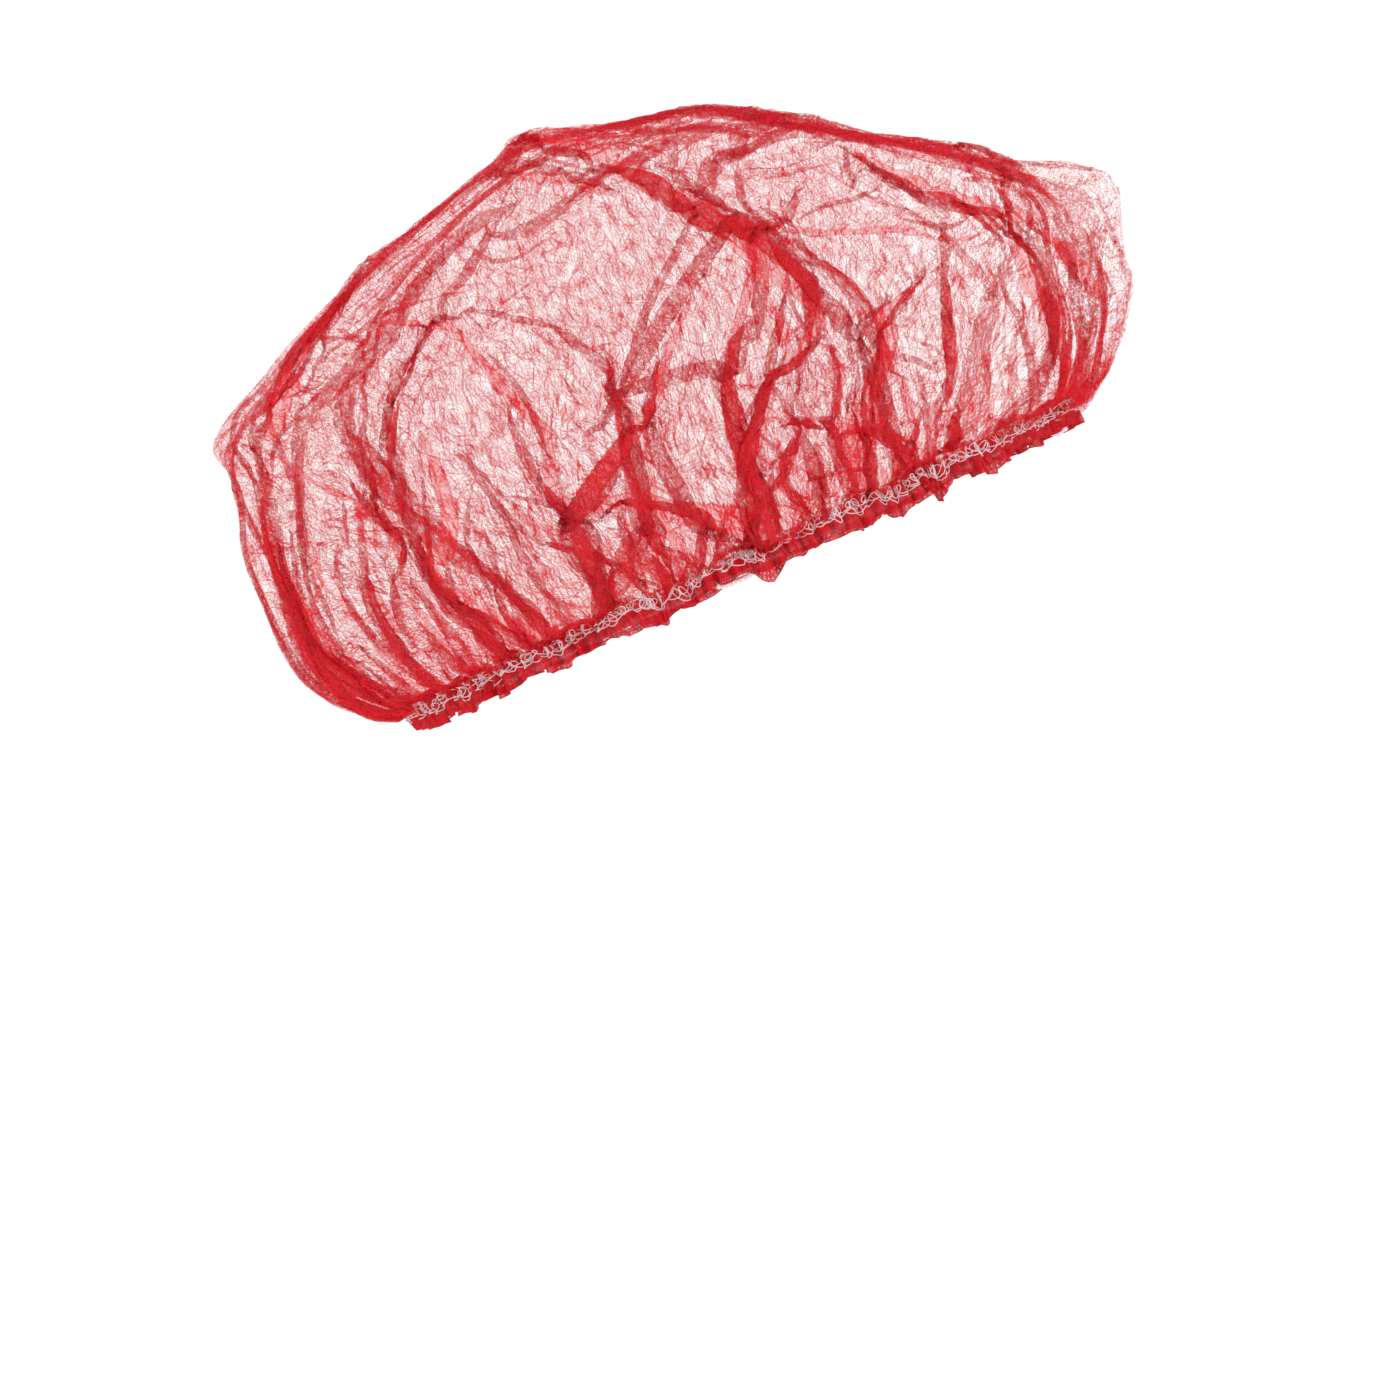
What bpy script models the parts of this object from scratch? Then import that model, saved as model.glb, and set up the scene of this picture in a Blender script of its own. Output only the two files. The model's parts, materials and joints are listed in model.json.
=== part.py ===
"""A disposable bouffant cap of sheer nonwoven, in the form that it takes on a head.

Metres, +Z up, +X to the wearer's face, +Y to the wearer's left. The origin is the middle of the
opening, in the plane of the hem's lower edge. That plane rises to the front, as the cap is worn.
"""

import math

import bmesh
import bpy
from mathutils import Vector

# The opening, which the elastic draws in
RIM_LENGTH = 0.193
RIM_WIDTH = 0.152
RIM_TILT = math.radians(25.0)

# How far the crown swells past the hem, and how high it stands above the origin
FRONT_OVERHANG = 0.0105
BACK_OVERHANG = 0.0515
SIDE_OVERHANG = 0.013
CROWN_HEIGHT = 0.1255
TOP_SETBACK = 0.014

# The sheet and its folds, which taper off over a share of their length, with the sheet between
# them sunk by a share of their height
WALL = 0.001
FOLD_HEIGHT = 0.006
FOLD_BREADTH = 0.017
FOLD_SINK = 0.5
FOLD_TAPER = 0.16

# The gathers, which start just above the hem. They fade, and the folds rise, over the same levels.
GATHER_DEPTH = 0.0012
GATHER_COUNT = 32
GATHER_START = 0.06
GATHER_FADE = 0.18

# The hem, its ruffled lower lip and the way that the crown leaves it
HEM_HEIGHT = 0.006
HEM_THICKNESS = 0.003
RUFFLE_DROP = 0.0028
RUFFLE_WAVE = 0.5
TUCK_OUT = 0.0080
TUCK_RISE = 0.0045

# The elastic inside the hem
ELASTIC_DIAMETER = 0.0016
ELASTIC_RISE = 0.0020
CLEARANCE = 0.0003

# How finely the surfaces are cut, with the levels closer together near the hem
COLUMNS = 96
LEVELS = 21
LEVEL_EASE = 1.15
NORMAL_STEP = 0.01
HEM_COLUMNS = 128
ELASTIC_POINTS = 72
FOLD_SAMPLES = 3

# Rings of the crown from the hem up. Each x is a share of the reach from the top's axis to the
# front or the back, each z a share of the crown's height, and side_y a share of its half width.
RINGS = (
    # front_x, front_z, back_x, back_z, side_y, side_z
    (0.961, 0.378, 0.744, -0.295, 0.900, 0.080),
    (0.987, 0.441, 0.839, -0.197, 0.962, 0.158),
    (1.000, 0.535, 0.918, -0.031, 0.990, 0.268),
    (0.996, 0.630, 0.973, 0.157, 1.000, 0.394),
    (0.983, 0.724, 1.000, 0.295, 0.972, 0.520),
    (0.957, 0.803, 0.915, 0.394, 0.912, 0.630),
    (0.870, 0.858, 0.823, 0.520, 0.822, 0.732),
    (0.713, 0.898, 0.673, 0.705, 0.682, 0.835),
    (0.513, 0.941, 0.506, 0.850, 0.500, 0.917),
    (0.296, 0.976, 0.332, 0.949, 0.300, 0.976),
)

# Ridges that the folded sheet stands up in. Height and breadth are shares. Each station is an
# azimuth in degrees from the front towards the wearer's left, and a level, which runs from 0 at
# the hem to 1 at the top.
FOLDS = (
    # height, breadth, stations of azimuth and level
    # The wearer's right side, from the back round to the front
    (0.9, 0.9, ((-180, 0.50), (-163, 0.48), (-151, 0.44), (-133, 0.34))),
    (0.8, 1.0, ((-172, 0.74), (-166, 0.58), (-154, 0.46), (-160, 0.30), (-163, 0.14))),
    (0.6, 0.8, ((-151, 0.44), (-150, 0.34), (-158, 0.24))),
    (0.6, 0.9, ((-131, 0.64), (-129, 0.50), (-134, 0.38))),
    (0.8, 1.0, ((-155, 0.68), (-125, 0.61), (-113, 0.48), (-109, 0.34), (-108, 0.15))),
    (0.9, 0.8, ((-125, 0.48), (-123, 0.36), (-128, 0.26), (-120, 0.17), (-108, 0.13))),
    (1.1, 1.0, ((-150, 0.88), (-103, 0.79), (-80, 0.62), (-72, 0.49), (-79, 0.37), (-86, 0.07))),
    (0.8, 0.9, ((-86, 0.62), (-92, 0.44), (-100, 0.35), (-107, 0.27), (-106, 0.16))),
    (1.0, 0.9, ((-106, 0.31), (-94, 0.25), (-86, 0.12))),
    (0.8, 0.9, ((-77, 0.63), (-59, 0.58), (-49, 0.51))),
    (1.0, 0.9, ((-51, 0.52), (-61, 0.44), (-64, 0.34), (-68, 0.14))),
    (0.7, 0.8, ((-53, 0.48), (-53, 0.36), (-61, 0.24), (-60, 0.10))),
    (0.7, 0.9, ((-45, 0.42), (-37, 0.33), (-33, 0.15))),
    (0.8, 1.0, ((-58, 0.86), (-48, 0.68), (-37, 0.57), (-36, 0.42), (-22, 0.12))),
    (0.7, 0.9, ((-20, 0.80), (-36, 0.60), (-22, 0.46), (-10, 0.36))),
    # The wearer's left side, from the front round to the back
    (0.6, 1.0, ((8, 0.74), (2, 0.58), (10, 0.40), (6, 0.18))),
    (0.8, 1.0, ((40, 0.86), (30, 0.66), (36, 0.48), (28, 0.32), (32, 0.12))),
    (0.7, 0.9, ((36, 0.50), (50, 0.40), (48, 0.26), (53, 0.10))),
    (1.0, 1.0, ((30, 0.93), (66, 0.80), (74, 0.64), (66, 0.48), (74, 0.32), (72, 0.10))),
    (0.8, 0.9, ((74, 0.62), (90, 0.54), (98, 0.40), (90, 0.26), (94, 0.10))),
    (0.9, 1.0, ((80, 0.90), (108, 0.74), (112, 0.58), (122, 0.44), (116, 0.28), (118, 0.10))),
    (0.7, 0.9, ((98, 0.42), (108, 0.30), (106, 0.12))),
    (0.8, 1.0, ((132, 0.84), (140, 0.66), (136, 0.50), (147, 0.36), (142, 0.14))),
    (0.8, 1.0, ((176, 0.70), (160, 0.60), (166, 0.46), (158, 0.32), (165, 0.14))),
    (0.6, 0.8, ((166, 0.46), (178, 0.38), (176, 0.20))),
)

# The hem's section, from its inner lower edge outwards and round: how far out, as a share of half
# the thickness, how much of the gathers it takes, how high, and how much of the ruffle it takes
HEM_SECTION = (
    # outward, gathered, rise, hanging
    (-1.0, 0.0, 0.07, 0.0),
    (0.2, 0.0, 0.0, 1.0),
    (1.3, 1.0, 0.12, 1.0),
    (1.0, 1.0, 0.45, 0.0),
    (0.8, 0.8, 0.85, 0.0),
    (0.3, 0.0, 1.0, 0.0),
    (-0.5, 0.0, 1.0, 0.0),
    (-1.0, 0.0, 0.8, 0.0),
)

# Tips of the ruffle below the hem: azimuth, drop as a share, half breadth in degrees
RUFFLE_TIPS = (
    (-148, 1.0, 7),
    (-103, 0.8, 5),
    (-86, 1.0, 5),
    (-55, 1.0, 6),
    (-24, 0.6, 7),
    (18, 0.8, 6),
    (47, 1.0, 6),
    (82, 0.9, 5),
    (116, 1.0, 7),
    (158, 0.8, 6),
)


def clear_scene():
    for old in list(bpy.data.objects):
        bpy.data.objects.remove(old)


def material(name, colour, roughness):
    made = bpy.data.materials.new(name)
    made.use_nodes = True
    shader = made.node_tree.nodes["Principled BSDF"]
    shader.inputs["Base Color"].default_value = (*colour, 1.0)
    shader.inputs["Roughness"].default_value = roughness
    shader.inputs["Metallic"].default_value = 0.0
    return made


def rim_axes():
    """Unit vectors along the opening to the front, across it to the left, and up out of it."""
    forward = Vector((math.cos(RIM_TILT), 0.0, math.sin(RIM_TILT)))
    left = Vector((0.0, 1.0, 0.0))
    return forward, left, forward.cross(left)


def rim_point(azimuth, outward, rise):
    """A point this far out from the hem's centreline, and above the plane of its lower edge."""
    forward, left, up = rim_axes()
    half_length, half_width = RIM_LENGTH / 2, RIM_WIDTH / 2
    on_line = forward * (half_length * math.cos(azimuth)) + left * (half_width * math.sin(azimuth))
    normal = forward * (half_width * math.cos(azimuth)) + left * (half_length * math.sin(azimuth))
    return on_line + normal.normalized() * outward + up * rise


def reaches():
    """How far the crown goes to the front, to the back and to each side, from the top's axis."""
    half_rim = RIM_LENGTH / 2 * math.cos(RIM_TILT)
    front = half_rim + FRONT_OVERHANG + TOP_SETBACK
    back = half_rim + BACK_OVERHANG - TOP_SETBACK
    side = RIM_WIDTH / 2 + SIDE_OVERHANG
    return front, back, side


def ring_point(row, azimuth):
    front_x, front_z, back_x, back_z, side_y, side_z = row
    front, back, side = reaches()
    ahead = -TOP_SETBACK + front_x * front
    behind = -TOP_SETBACK - back_x * back
    turn = math.cos(azimuth)
    middle_z = (front_z + back_z) / 2
    rise = side_z + (middle_z - side_z) * turn * turn + (front_z - back_z) / 2 * turn
    return Vector((
        (ahead + behind) / 2 + (ahead - behind) / 2 * turn,
        side_y * side * math.sin(azimuth),
        rise * CROWN_HEIGHT,
    ))


def meridian(azimuth):
    """The crown's control points at this azimuth, from the hem to the top and one past it."""
    points = [
        rim_point(azimuth, WALL, HEM_HEIGHT + CLEARANCE + WALL),
        rim_point(azimuth, TUCK_OUT, TUCK_RISE),
    ]
    points += [ring_point(row, azimuth) for row in RINGS]
    points.append(Vector((-TOP_SETBACK, 0.0, CROWN_HEIGHT)))
    points.append(ring_point(RINGS[-1], azimuth + math.pi))
    return points


def along(points, share):
    """The point this share of the way along a smooth curve, which the last point only guides."""
    spans = len(points) - 2
    place = min(max(share, 0.0), 1.0) * spans
    index = min(int(place), spans - 1)
    t = place - index
    before = points[max(index - 1, 0)]
    start, end, after = points[index], points[index + 1], points[index + 2]
    return 0.5 * (
        2 * start
        + (end - before) * t
        + (2 * before - 5 * start + 4 * end - after) * t * t
        + (3 * start - before - 3 * end + after) * t * t * t
    )


def smooth_point(azimuth, level):
    return along(meridian(azimuth), level)


def normal_at(azimuth, level):
    step = NORMAL_STEP
    around = smooth_point(azimuth + step, level) - smooth_point(azimuth - step, level)
    upward = smooth_point(azimuth, level + step) - smooth_point(azimuth, level - step)
    return around.cross(upward).normalized()


def fold_path(stations):
    """Points on the smooth crown along one fold."""
    points = []
    for (azimuth_from, level_from), (azimuth_to, level_to) in zip(stations, stations[1:]):
        for i in range(FOLD_SAMPLES):
            share = i / FOLD_SAMPLES
            azimuth = azimuth_from + (azimuth_to - azimuth_from) * share
            level = level_from + (level_to - level_from) * share
            points.append(smooth_point(math.radians(azimuth), level))
    azimuth, level = stations[-1]
    points.append(smooth_point(math.radians(azimuth), level))
    return points


def nearest_on(path, point):
    """How far the point is from the path, and what share of the path lies before that place."""
    best, place = math.inf, 0.0
    for i, (start, end) in enumerate(zip(path, path[1:])):
        run = end - start
        share = min(max((point - start).dot(run) / run.length_squared, 0.0), 1.0)
        away = (point - start - run * share).length
        if away < best:
            best, place = away, i + share
    return best, place / (len(path) - 1)


def fold_lift(point, folds):
    """How far the folds raise the crown here, over the sink that the sheet has between them."""
    lift = -FOLD_SINK
    for height, breadth, path in folds:
        away, place = nearest_on(path, point)
        share = away / (breadth * FOLD_BREADTH)
        if share < 1.0:
            end = min(1.0, place / FOLD_TAPER, (1.0 - place) / FOLD_TAPER)
            lift = max(lift, (height * end + FOLD_SINK) * (1.0 - share * share) ** 2 - FOLD_SINK)
    return FOLD_HEIGHT * lift


def gather(azimuth, level):
    """The zigzag that the elastic draws the sheet into, which fades up the crown."""
    swell = min(1.0, level / GATHER_START) * math.exp(-level / GATHER_FADE)
    return GATHER_DEPTH * swell * math.cos(GATHER_COUNT * azimuth)


def crown_surface():
    """The outer face of the crown, open at the hem."""
    folds = [(height, breadth, fold_path(stations)) for height, breadth, stations in FOLDS]
    surface = bmesh.new()
    rings = []
    for j in range(LEVELS):
        level = (j / LEVELS) ** LEVEL_EASE
        ring = []
        for i in range(COLUMNS):
            azimuth = 2 * math.pi * i / COLUMNS
            point = smooth_point(azimuth, level)
            out = normal_at(azimuth, level)
            lift = fold_lift(point, folds) * min(1.0, level / GATHER_FADE)
            ring.append(surface.verts.new(point + out * (lift + gather(azimuth, level))))
        rings.append(ring)
    top = surface.verts.new(smooth_point(0.0, 1.0))
    for lower, upper in zip(rings, rings[1:]):
        for i in range(COLUMNS):
            k = (i + 1) % COLUMNS
            surface.faces.new((lower[i], lower[k], upper[k], upper[i]))
    for i in range(COLUMNS):
        surface.faces.new((rings[-1][i], rings[-1][(i + 1) % COLUMNS], top))
    return surface


def object_from(surface, name, finish, parts):
    mesh = bpy.data.meshes.new(name)
    surface.to_mesh(mesh)
    surface.free()
    mesh.materials.append(finish)
    mesh.shade_smooth()
    made = bpy.data.objects.new(name, mesh)
    parts.objects.link(made)
    return made


def make_crown(parts, finish):
    crown = object_from(crown_surface(), "crown_shell", finish, parts)
    shell = crown.modifiers.new("Sheet", "SOLIDIFY")
    shell.thickness = WALL
    shell.offset = -1.0
    return crown


def ruffle(azimuth):
    """How far the lip hangs below the plane of the hem at this azimuth."""
    drop = RUFFLE_WAVE * (1 + math.cos(GATHER_COUNT * azimuth)) / 2
    for tip, share, half_breadth in RUFFLE_TIPS:
        away = (math.degrees(azimuth) - tip + 180) % 360 - 180
        drop = max(drop, share * (1 - abs(away) / half_breadth))
    return RUFFLE_DROP * drop


def hem_section(azimuth):
    """Outward and upward places of the points round the hem's section."""
    swell = GATHER_DEPTH * (1 + math.cos(GATHER_COUNT * azimuth)) / 2
    drop = ruffle(azimuth)
    return [
        (outward * HEM_THICKNESS / 2 + gathered * swell, rise * HEM_HEIGHT - hanging * drop)
        for outward, gathered, rise, hanging in HEM_SECTION
    ]


def make_hem(parts, finish):
    surface = bmesh.new()
    loops = []
    for i in range(HEM_COLUMNS):
        azimuth = 2 * math.pi * i / HEM_COLUMNS
        loops.append([surface.verts.new(rim_point(azimuth, *place)) for place in hem_section(azimuth)])
    for i, loop in enumerate(loops):
        following = loops[(i + 1) % HEM_COLUMNS]
        for k in range(len(loop)):
            n = (k + 1) % len(loop)
            surface.faces.new((loop[k], following[k], following[n], loop[n]))
    bmesh.ops.recalc_face_normals(surface, faces=surface.faces)
    return object_from(surface, "gathered_hem", finish, parts)


def make_elastic(parts, finish):
    """One closed cord just inside the hem, near its lower edge."""
    inset = HEM_THICKNESS / 2 + CLEARANCE + ELASTIC_DIAMETER / 2
    line = bpy.data.curves.new("elastic_cord", "CURVE")
    line.dimensions = "3D"
    line.bevel_depth = ELASTIC_DIAMETER / 2
    line.bevel_resolution = 1
    line.materials.append(finish)
    run = line.splines.new("POLY")
    run.points.add(ELASTIC_POINTS - 1)
    for i, point in enumerate(run.points):
        azimuth = 2 * math.pi * i / ELASTIC_POINTS
        point.co = (*rim_point(azimuth, -inset, ELASTIC_RISE), 1.0)
    run.use_cyclic_u = True
    made = bpy.data.objects.new("elastic_cord", line)
    parts.objects.link(made)
    return made


def main():
    clear_scene()
    parts = bpy.data.collections.new("bouffant_cap")
    bpy.context.scene.collection.children.link(parts)
    nonwoven = material("red_nonwoven", (0.72, 0.02, 0.02), 0.75)
    gathered = material("red_hem", (0.66, 0.015, 0.015), 0.8)
    white = material("white_elastic", (0.88, 0.86, 0.86), 0.7)
    make_crown(parts, nonwoven)
    make_hem(parts, gathered)
    make_elastic(parts, white)


main()
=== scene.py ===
import json
import math

import bpy
import numpy as np
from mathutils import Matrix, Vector
from mathutils.bvhtree import BVHTree


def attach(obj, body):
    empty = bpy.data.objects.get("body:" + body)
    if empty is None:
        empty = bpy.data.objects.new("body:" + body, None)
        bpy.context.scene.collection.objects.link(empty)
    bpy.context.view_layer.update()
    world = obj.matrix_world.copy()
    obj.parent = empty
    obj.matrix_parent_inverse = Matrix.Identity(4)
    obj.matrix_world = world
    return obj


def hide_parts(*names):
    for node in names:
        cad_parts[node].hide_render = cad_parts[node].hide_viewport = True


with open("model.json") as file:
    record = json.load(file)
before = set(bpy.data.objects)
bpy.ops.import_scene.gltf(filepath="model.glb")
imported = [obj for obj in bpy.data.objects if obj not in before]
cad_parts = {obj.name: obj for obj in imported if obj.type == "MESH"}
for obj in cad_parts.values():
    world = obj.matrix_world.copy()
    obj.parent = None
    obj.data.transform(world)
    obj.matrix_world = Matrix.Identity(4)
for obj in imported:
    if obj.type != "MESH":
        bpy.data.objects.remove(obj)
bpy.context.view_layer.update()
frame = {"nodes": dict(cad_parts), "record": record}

rng = np.random.default_rng(20)

# The photograph's scale, and the pixel that shows the middle of the opening
PIXEL = 0.000266
ORIGIN_PIXEL = (748, 576)
MIDDLE_PIXEL = (700, 700)
IMAGE_SIDE = 1400
CAMERA_AWAY = 4.0
SENSOR = 36.0

# The sheet: the radius that it was cut to, the place of its middle on the form, and the rings of
# points at each stage of its relaxing
CUT_RADIUS = 0.240
CENTRE_BEHIND = 0.045
CENTRE_HIGH = 0.120
STAGES = (
    # rings, steps, noise, bend, slack under the form at first and at last
    (76, 200, 0.0002, 0.16, 0.016, 0.003),
    (120, 70, 0.0, 0.16, 0.003, 0.0025),
    (170, 45, 0.0, 0.16, 0.0025, 0.0022),
)

# How the sheet relaxes: the speed it keeps, its pull to the form and the limit of that, its press
# under the form, the share by the rim where both fade, and the room left for layers
DAMPING = 0.90
PULL = 0.03
PULL_LIMIT = 0.02
PRESS = 0.4
RIM_FADE = 0.06
UNDER_FORM = 0.001
LAYER = 0.0005

# How far two faces fold together where a crease starts to show, and where it is full
CREASE_FROM = 0.25
CREASE_TO = 0.7

# The opening, how it is measured on the solids, and its gathers
HEM_HALF_WALL = 0.0015
SECTION_BREADTH = 0.01
TURN_SAMPLES = 4000
GATHERS = 150
GATHER_DEPTH = 0.0016
GATHER_STRAYS = (
    # strength, waves round the rim, phase
    (0.7, 7, 1),
    (0.6, 17, 2),
)
CROWN_RISE = 0.0056
CROWN_OUT = 0.001

# The form's table of distances, seen from a point inside it
CORE = np.array([-0.019, 0.0, 0.041])
TABLE_TURNS = 360
TABLE_TILTS = 160
WIDEST_TILT = math.radians(150)

# Folds on the near side, as they run in the photograph. Each is a pleat of three layers, and lean
# is the side that it folds over to.
FOLDS = (
    # first half width, last half width, lean, pixels along the fold
    (0.0012, 0.0040, 1, ((526, 137), (584, 145), (628, 169), (694, 207), (742, 235), (804, 286))),
    (0.0030, 0.0014, 1, ((804, 286), (821, 320), (793, 366))),
    (0.0004, 0.0016, 1, ((742, 235), (781, 320), (793, 366))),
    (0.0014, 0.0018, -1, ((793, 366), (768, 378), (768, 404))),
    (0.0022, 0.0030, 1, ((768, 390), (755, 439), (744, 464), (757, 502), (767, 559))),
    (0.0002, 0.0016, -1, ((722, 248), (684, 312), (658, 378))),
    (0.0016, 0.0034, 1, ((658, 378), (658, 396), (628, 439), (594, 483), (573, 513))),
    (0.0020, 0.0044, 1, ((573, 508), (642, 502), (681, 515), (744, 523), (762, 546))),
    (0.0002, 0.0014, -1, ((345, 320), (390, 321), (450, 325))),
    (0.0012, 0.0018, 1, ((450, 325), (497, 383), (543, 431), (551, 490))),
    (0.0018, 0.0026, -1, ((551, 490), (575, 530), (584, 556), (604, 600))),
    (0.0004, 0.0028, 1, ((415, 423), (438, 474), (448, 513), (441, 556))),
    (0.0030, 0.0026, -1, ((423, 543), (438, 592), (459, 607), (502, 625), (560, 640))),
    (0.0016, 0.0008, 1, ((515, 172), (560, 176), (622, 190))),
    (0.0016, 0.0006, -1, ((742, 222), (819, 232), (900, 226), (960, 240), (1020, 222))),
    (0.0002, 0.0016, 1, ((945, 262), (900, 299), (884, 315))),
    (0.0022, 0.0032, 1, ((884, 315), (894, 338), (879, 376), (856, 422), (868, 489))),
    (0.0016, 0.0040, -1, ((866, 400), (894, 438), (924, 478))),
    (0.0010, 0.0022, 1, ((945, 270), (952, 351), (950, 410), (960, 440))),
    (0.0002, 0.0010, 1, ((809, 396), (819, 460), (830, 520))),
    (0.0004, 0.0006, -1, ((768, 425), (830, 415), (872, 400))),
    (0.0002, 0.0016, -1, ((1072, 278), (1070, 330), (1074, 380), (1070, 405))),
    (0.0008, 0.0030, 1, ((852, 150), (923, 184), (1001, 215), (1023, 217))),
    (0.0005, 0.0016, -1, ((970, 152), (1010, 197), (1034, 222))),
    (0.0012, 0.0030, -1, ((1034, 222), (1055, 240), (1078, 258))),
    (0.0030, 0.0004, -1, ((1078, 258), (1095, 278), (1112, 302))),
    (0.0010, 0.0040, 1, ((1008, 170), (1014, 224), (1030, 280), (1052, 313), (1072, 402))),
    (0.0006, 0.0014, 1, ((213, 441), (264, 451), (287, 467), (348, 502), (396, 536))),
    (0.0012, 0.0030, 1, ((430, 190), (390, 240), (330, 305), (290, 363), (270, 430))),
    (0.0012, 0.0036, -1, ((262, 455), (258, 520), (285, 600), (350, 690))),
    (0.0004, 0.0018, 1, ((287, 482), (316, 584), (302, 625), (330, 680))),
    (0.0002, 0.0020, 1, ((430, 320), (400, 380), (388, 430), (380, 490), (395, 560))),
    (0.0004, 0.0012, 1, ((385, 300), (362, 380), (352, 450), (356, 540))),
    (0.0003, 0.0010, -1, ((410, 330), (378, 400), (368, 470), (372, 550))),
    (0.0003, 0.0010, 1, ((445, 335), (418, 395), (402, 450), (398, 520))),
    (0.0002, 0.0024, -1, ((352, 540), (372, 600), (398, 660))),
    (0.0004, 0.0030, 1, ((455, 560), (470, 610), (510, 668))),
    (0.0002, 0.0024, 1, ((610, 540), (625, 570), (640, 600))),
    (0.0002, 0.0020, -1, ((700, 530), (705, 555), (712, 580))),
    (0.0010, 0.0040, -1, ((270, 575), (305, 655), (350, 705), (405, 728))),
)

# Corners of the outline, and how sharply each one rises to its point
CORNER_POINT = 1.5
CORNERS = (
    # pixel, how far it is drawn out, how broad it is
    ((214, 441), 0.0030, 0.030),
    ((521, 143), 0.0022, 0.034),
    ((757, 108), 0.0012, 0.040),
    ((926, 143), 0.0020, 0.034),
    ((1104, 190), 0.0062, 0.021),
    ((1124, 282), 0.0054, 0.020),
    ((300, 690), 0.0020, 0.026),
)

# Folds that the photograph doesn't show: the angles between which they lie, the tilts in degrees
# at which they start, how they wander, and their half widths
HIDDEN_FOLDS = 13
HIDDEN_FROM = math.radians(22)
HIDDEN_TO = math.radians(170)
HIDDEN_SPREAD = (0.1, 0.9)
HIDDEN_TOPS = (46, 60, 72, 84)
HIDDEN_TOP_STRAY = 8
HIDDEN_END = math.radians(118)
HIDDEN_DRIFT = 0.22
HIDDEN_BOW = 0.10
HIDDEN_POINTS = 30
HIDDEN_FIRST = 0.0004
HIDDEN_LAST = (0.0014, 0.0032)

# How a fold is laid: the step along it, its reach to either side, the share of its width that is
# laid, how deep the sheet follows the form, and what holds it
FOLD_STEP = 0.004
FOLD_REACH = 0.030
LAID = 0.8
FOLLOW_DEPTH = 0.004
HOLD_BREADTH = 0.0015
HOLD = 0.25
FOLD_BEND = 0.3

# How a pleat is drawn: its least half width, the farthest distance in half widths, and how much
# a point's depth under the fold counts
THINNEST_RIBBON = 0.0006
RIBBON_LIMIT = 5.0
RIBBON_DEPTH = 0.15

# The ruffled hem: its grid, how high its two edges reach, how far it stands out and in, and how
# far its lower lip is tucked in at both ends of the opening
HEM_COLUMNS = 2400
HEM_ROWS = 18
HEM_TOP = 0.0063
HEM_BACK_TOP = 0.0050
HEM_OUT = 0.0014
HEM_IN = 0.0012
HEM_TUCK = 0.0028
TUCK_ENDS = 8

# How uneven the hem is: the fewest and most waves round the rim, and what each kind does
STRAY_WAVES = (3, 24)
SWELL_WAVES = (14, 48)
FINE_WAVES = (150, 330)
SWAY_WAVES = (30, 110)
FRAY_WAVES = (60, 240)
STRAY = 1.2
GATHER_SHARE = 0.75
STEADY_GATHER = 0.9
SWELL_GATHER = 0.5
FINE_GATHER = 0.45
SWELL_OUT = 0.0016
SWAY = 0.0009
DROP = 0.0002
SWELL_DROP = 0.0008
SWELL_MOST = 1.6
FRAY_DROP = 0.0003

# The valleys between its gathers, where shade is painted into the hem's colour
VALLEY_FINE = 0.6
VALLEY_LEVEL = 0.15
VALLEY_DEPTH = 0.75
VALLEY_EDGE = 1.5

# The tips in which its lower edge hangs, seen and hidden, and how pointed they are
TIP_POINT = 0.8
TIPS = (
    # pixel across, drop, half breadth
    (445, 0.0024, 0.004),
    (475, 0.0030, 0.003),
    (510, 0.0026, 0.005),
    (568, 0.0030, 0.004),
    (662, 0.0040, 0.006),
    (690, 0.0026, 0.003),
    (767, 0.0054, 0.004),
    (860, 0.0026, 0.006),
    (894, 0.0044, 0.005),
    (934, 0.0056, 0.004),
    (984, 0.0040, 0.006),
)

HIDDEN_TIPS = 9
HIDDEN_TIP_BREADTH = (0.03, 0.08)
HIDDEN_TIP_DROP = (0.0012, 0.0028)

# Overlock thread: the rows of loops, how the loops wander, and how deep they sink in the gathers
STITCH_PITCH = 0.0019
THREAD_RADIUS = 0.00013
THREAD_SIDES = 5
LOOP_POINTS = 14
SURFACE_ROWS = 40
OVERLOCK_ROWS = (
    # name, lowest and highest share of the hem's way round, phase
    ("overlock_loops", 0.04, 0.23, 0.0),
    ("overlock_return", 0.03, 0.18, 2.6),
)
LOOP_SLIDE = 0.62
LOOP_LEAN = 0.5
LOOP_STRAY = 0.5
LOOP_HEIGHT_STRAY = 0.3
ROW_STRAY = 0.04
ROW_WAVES = (10, 60)
SINK = 0.0003
SINK_STRAY = 0.0003
SINK_WAVES = (12, 70)
SINK_LOOP = 0.0002
THREAD_TWIST = 0.0004
THREAD_BUMP = 0.00004

# Elastic: its crimp and its ribs, and the pixels across where it shows below the hem
ELASTIC_RADIUS = 0.0006
ELASTIC_SIDES = 8
ELASTIC_POINTS = 1500
ELASTIC_STRAY = 0.0003
ELASTIC_WAVES = (20, 60)
ELASTIC_SLIP = 0.0026
CRIMP = 0.00022
CRIMPS = 260
CRIMP_WAVES = (3, 20)
RIB = 0.16
RIBS = 420
YARN_TWIST = 0.0009
YARN_BUMP = 0.00012
SLIP_REACH = 1.4
ELASTIC_SHOWS = (
    # pixel across, half breadth
    (732, 0.006),
    (990, 0.002),
    (1048, 0.002),
)

# The stage
FLOOR_LEVEL = -0.34
STAGE_RADIUS = 5.6
STAGE_BEND = 1.2
STAGE_WALL = 1.6
STAGE_SIDES = 96
BEND_STEPS = 12

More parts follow.
